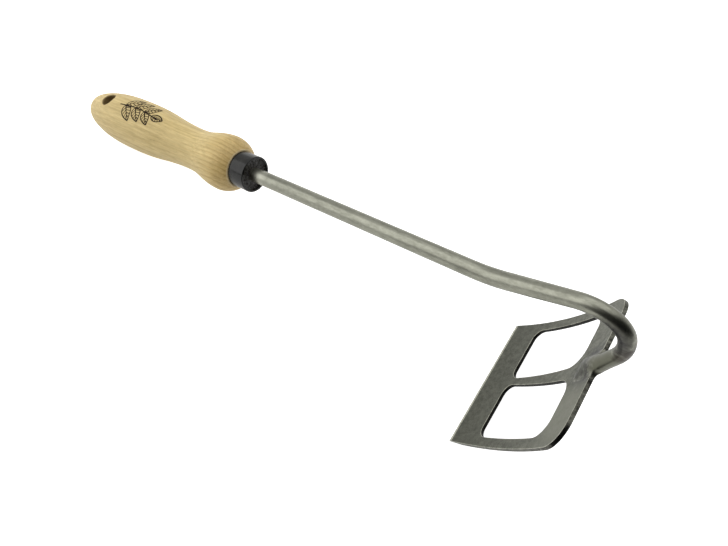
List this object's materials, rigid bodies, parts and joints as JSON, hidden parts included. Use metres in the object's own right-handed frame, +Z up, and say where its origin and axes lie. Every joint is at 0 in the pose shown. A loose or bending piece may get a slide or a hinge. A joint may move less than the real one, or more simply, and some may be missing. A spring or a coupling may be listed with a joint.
{
  "type": "stirrup hoe",
  "caption": "Short hand hoe with an ash handle, a steel swan-neck rod and a curved draw blade with open windows.",
  "frame": {"origin": "on the ground, below the middle of the tool's box, with the tool standing on its cutting edge and on the underside of the butt", "axes": "+X from the butt to the blade, +Z up, +Y to the left of a user who looks towards the blade"},
  "size_m": [0.3347, 0.0882, 0.1473],
  "materials": {
    "ash_wood": "satin",
    "ferrule_steel": "satin",
    "black_resin": "rough",
    "rod_steel": "satin",
    "blade_steel": "satin",
    "weld_steel": "satin"
  },
  "bodies": {
    "root": {"handle": "ash_wood", "ferrule": "ferrule_steel", "tang_resin": "black_resin", "neck": "rod_steel", "blade": "blade_steel", "weld": "weld_steel"}
  },
  "joints": []
}
